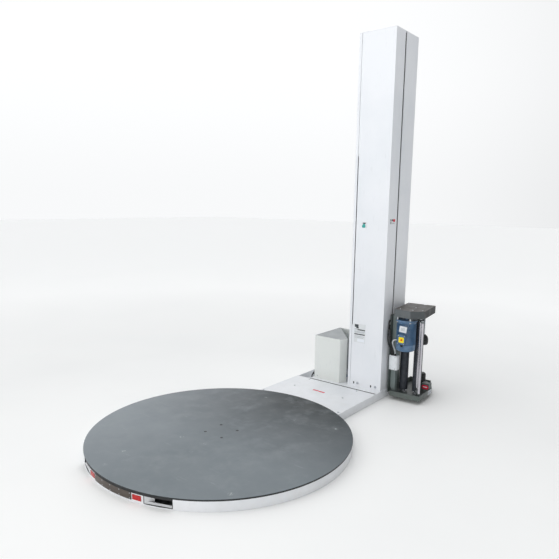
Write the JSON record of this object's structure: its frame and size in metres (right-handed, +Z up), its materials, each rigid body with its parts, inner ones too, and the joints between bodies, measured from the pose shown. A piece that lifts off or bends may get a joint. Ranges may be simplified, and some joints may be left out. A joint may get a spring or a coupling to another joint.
{
  "type": "turntable pallet wrapper",
  "caption": "Turntable stretch wrapper: a low round turntable, a bridge with its drive, and a tall mast with a film carriage that slides up and down its side.",
  "frame": {"origin": "where the turntable's vertical axis meets the floor", "axes": "+Z up, +Y from the turntable to the mast, +X to the side that the film carriage runs on"},
  "size_m": [1.6498, 2.6749, 2.715],
  "materials": {
    "white_enamel": "powder coated, satin",
    "panel_metal": "satin",
    "red_reflector": "prismatic reflector",
    "zinc_steel": "zinc plated",
    "belt_rubber": "matt",
    "motor_blue": "gloss enamel on cast aluminium",
    "label_plate": "printed foil, left blank",
    "turntable_grey": "powder coated, fine texture",
    "wheel_polyurethane": "moulded",
    "carriage_grey": "powder coated, satin",
    "box_plastic": "moulded",
    "cable_black": "sheathed cable",
    "roller_rubber": "ground rubber covering",
    "roller_chrome": "plated",
    "black_plastic": "moulded",
    "red_plastic": "moulded",
    "green_plastic": "moulded"
  },
  "bodies": {
    "root": {"ring_base": "white_enamel", "fork_channels": "white_enamel", "front_plate": "panel_metal", "reflectors": "red_reflector", "base_frame": "white_enamel", "bridge_cover": "white_enamel", "rear_deck": "white_enamel", "fasteners": "zinc_steel", "centre_post": "zinc_steel", "wheel_brackets": "zinc_steel", "turntable_belt": "belt_rubber", "drive_gearmotor": "motor_blue", "motor_cover": "white_enamel", "mast_shell": "white_enamel", "mast_front_cover": "white_enamel", "mast_top_cap": "white_enamel", "guide_rails": "zinc_steel", "lift_gearmotor": "motor_blue", "lift_belt": "belt_rubber", "idler_bracket": "zinc_steel", "electrical_plate": "zinc_steel", "label_plates": "label_plate"},
    "turntable": {"turntable_disc": "turntable_grey", "turntable_hub": "zinc_steel"},
    "support_wheel_1": {"support_wheel_1": "wheel_polyurethane"},
    "support_wheel_2": {"support_wheel_2": "wheel_polyurethane"},
    "support_wheel_3": {"support_wheel_3": "wheel_polyurethane"},
    "support_wheel_4": {"support_wheel_4": "wheel_polyurethane"},
    "drive_pulley": {"drive_pulley": "zinc_steel"},
    "carriage": {"trolley": "zinc_steel", "carriage_back_plate": "carriage_grey", "carriage_column": "carriage_grey", "carriage_top_plate": "carriage_grey", "carriage_top_cover": "carriage_grey", "carriage_tray": "carriage_grey", "stretch_motor": "motor_blue", "junction_box": "box_plastic", "carriage_cables": "cable_black", "stretch_belt": "belt_rubber"},
    "guide_roller_1": {"guide_roller_1": "wheel_polyurethane"},
    "guide_roller_2": {"guide_roller_2": "wheel_polyurethane"},
    "guide_roller_3": {"guide_roller_3": "wheel_polyurethane"},
    "guide_roller_4": {"guide_roller_4": "wheel_polyurethane"},
    "lift_drum": {"lift_drum": "zinc_steel"},
    "lift_idler": {"lift_idler": "zinc_steel"},
    "stretch_roller_1": {"stretch_roller_1": "roller_rubber"},
    "stretch_roller_2": {"stretch_roller_2": "roller_rubber"},
    "motor_pulley": {"motor_pulley": "zinc_steel"},
    "dancer_arm": {"dancer_arm": "carriage_grey"},
    "dancer_roller": {"dancer_roller": "roller_chrome"},
    "idler_roller": {"idler_roller": "roller_chrome"},
    "lower_core_holder": {"lower_core_holder": "black_plastic"},
    "upper_core_slide": {"upper_core_slide": "zinc_steel"},
    "upper_core_holder": {"upper_core_holder": "black_plastic"},
    "cabinet_door": {"cabinet_door": "white_enamel", "control_panel": "panel_metal"},
    "main_switch": {"main_switch": "red_plastic"},
    "estop_button": {"estop_button": "red_plastic"},
    "start_button": {"start_button": "green_plastic"},
    "stop_button": {"stop_button": "black_plastic"}
  },
  "joints": [
    {"name": "turntable_spin", "type": "hinge", "parent": "root", "child": "turntable", "pos_m": [0, 0, 0.07], "axis": [0, 0, 1], "continuous": true},
    {"name": "support_wheel_1_spin", "type": "hinge", "parent": "root", "child": "support_wheel_1", "pos_m": [0.45255, 0.45255, 0.0377], "axis": [0.7071, 0.7071, 0], "continuous": true},
    {"name": "support_wheel_2_spin", "type": "hinge", "parent": "root", "child": "support_wheel_2", "pos_m": [-0.45255, 0.45255, 0.0377], "axis": [-0.7071, 0.7071, 0], "continuous": true},
    {"name": "support_wheel_3_spin", "type": "hinge", "parent": "root", "child": "support_wheel_3", "pos_m": [-0.45255, -0.45255, 0.0377], "axis": [-0.7071, -0.7071, 0], "continuous": true},
    {"name": "support_wheel_4_spin", "type": "hinge", "parent": "root", "child": "support_wheel_4", "pos_m": [0.45255, -0.45255, 0.0377], "axis": [0.7071, -0.7071, 0], "continuous": true},
    {"name": "drive_pulley_spin", "type": "hinge", "parent": "root", "child": "drive_pulley", "pos_m": [-0.078, 1.465, 0.032], "axis": [0, 0, 1], "continuous": true},
    {"name": "carriage_lift", "type": "slide", "parent": "root", "child": "carriage", "axis": [0, 0, 1], "range_m": [0, 1.75]},
    {"name": "guide_roller_1_spin", "type": "hinge", "parent": "carriage", "child": "guide_roller_1", "pos_m": [0.332, 1.4293, 0.17], "axis": [1, 0, 0], "continuous": true},
    {"name": "guide_roller_2_spin", "type": "hinge", "parent": "carriage", "child": "guide_roller_2", "pos_m": [0.332, 1.5807, 0.17], "axis": [1, 0, 0], "continuous": true},
    {"name": "guide_roller_3_spin", "type": "hinge", "parent": "carriage", "child": "guide_roller_3", "pos_m": [0.332, 1.4293, 0.55], "axis": [1, 0, 0], "continuous": true},
    {"name": "guide_roller_4_spin", "type": "hinge", "parent": "carriage", "child": "guide_roller_4", "pos_m": [0.332, 1.5807, 0.55], "axis": [1, 0, 0], "continuous": true},
    {"name": "lift_drum_spin", "type": "hinge", "parent": "root", "child": "lift_drum", "pos_m": [0.23, 1.505, 0.16], "axis": [0, 1, 0], "continuous": true},
    {"name": "lift_idler_spin", "type": "hinge", "parent": "root", "child": "lift_idler", "pos_m": [0.23, 1.505, 2.6], "axis": [0, 1, 0], "continuous": true},
    {"name": "stretch_roller_1_spin", "type": "hinge", "parent": "carriage", "child": "stretch_roller_1", "pos_m": [0.48, 1.57, 0.3], "axis": [0, 0, 1], "continuous": true},
    {"name": "stretch_roller_2_spin", "type": "hinge", "parent": "carriage", "child": "stretch_roller_2", "pos_m": [0.58398, 1.58461, 0.3], "axis": [0, 0, 1], "continuous": true},
    {"name": "motor_pulley_spin", "type": "hinge", "parent": "carriage", "child": "motor_pulley", "pos_m": [0.532, 1.46, 0.69], "axis": [0, 0, 1], "continuous": true},
    {"name": "dancer_swing", "type": "hinge", "parent": "carriage", "child": "dancer_arm", "pos_m": [0.616, 1.52, 0.3], "axis": [0, 0, 1], "range_deg": [-15, 8], "stiffness_Nm_per_rad": 4},
    {"name": "dancer_roller_spin", "type": "hinge", "parent": "dancer_arm", "child": "dancer_roller", "pos_m": [0.663, 1.451, 0.3], "axis": [0, 0, 1], "continuous": true},
    {"name": "idler_roller_spin", "type": "hinge", "parent": "carriage", "child": "idler_roller", "pos_m": [0.616, 1.52, 0.3], "axis": [0, 0, 1], "continuous": true},
    {"name": "lower_core_spin", "type": "hinge", "parent": "carriage", "child": "lower_core_holder", "pos_m": [0.548, 1.75, 0.1], "axis": [0, 0, 1], "continuous": true},
    {"name": "upper_core_lift", "type": "slide", "parent": "carriage", "child": "upper_core_slide", "axis": [0, 0, 1], "range_m": [0, 0.115]},
    {"name": "upper_core_spin", "type": "hinge", "parent": "upper_core_slide", "child": "upper_core_holder", "pos_m": [0.548, 1.75, 0.43], "axis": [0, 0, 1], "continuous": true},
    {"name": "cabinet_door_swing", "type": "hinge", "parent": "root", "child": "cabinet_door", "pos_m": [0.126, 1.71, 1.15], "axis": [0, 0, 1], "range_deg": [0, 110]},
    {"name": "main_switch_turn", "type": "hinge", "parent": "cabinet_door", "child": "main_switch", "pos_m": [0.2425, 1.71, 1.06], "axis": [0, 1, 0], "range_deg": [0, 90]},
    {"name": "estop_press", "type": "slide", "parent": "cabinet_door", "child": "estop_button", "axis": [0, -1, 0], "range_m": [0, 0.004], "stiffness_N_per_m": 500},
    {"name": "start_press", "type": "slide", "parent": "cabinet_door", "child": "start_button", "axis": [0, -1, 0], "range_m": [0, 0.004], "stiffness_N_per_m": 500},
    {"name": "stop_press", "type": "slide", "parent": "cabinet_door", "child": "stop_button", "axis": [0, -1, 0], "range_m": [0, 0.004], "stiffness_N_per_m": 500}
  ],
  "couplings": [
    {"joint": "support_wheel_1_spin", "follows": "turntable_spin", "ratio": -26.667},
    {"joint": "support_wheel_2_spin", "follows": "turntable_spin", "ratio": -26.667},
    {"joint": "support_wheel_3_spin", "follows": "turntable_spin", "ratio": -26.667},
    {"joint": "support_wheel_4_spin", "follows": "turntable_spin", "ratio": -26.667},
    {"joint": "drive_pulley_spin", "follows": "turntable_spin", "ratio": 3.2199},
    {"joint": "guide_roller_1_spin", "follows": "carriage_lift", "rad_per_m": 40},
    {"joint": "guide_roller_2_spin", "follows": "carriage_lift", "rad_per_m": -40},
    {"joint": "guide_roller_3_spin", "follows": "carriage_lift", "rad_per_m": 40},
    {"joint": "guide_roller_4_spin", "follows": "carriage_lift", "rad_per_m": -40},
    {"joint": "lift_drum_spin", "follows": "carriage_lift", "rad_per_m": -31.447},
    {"joint": "lift_idler_spin", "follows": "carriage_lift", "rad_per_m": -31.447},
    {"joint": "stretch_roller_2_spin", "follows": "stretch_roller_1_spin", "ratio": -0.72131},
    {"joint": "motor_pulley_spin", "follows": "stretch_roller_1_spin", "ratio": 0.84344}
  ]
}
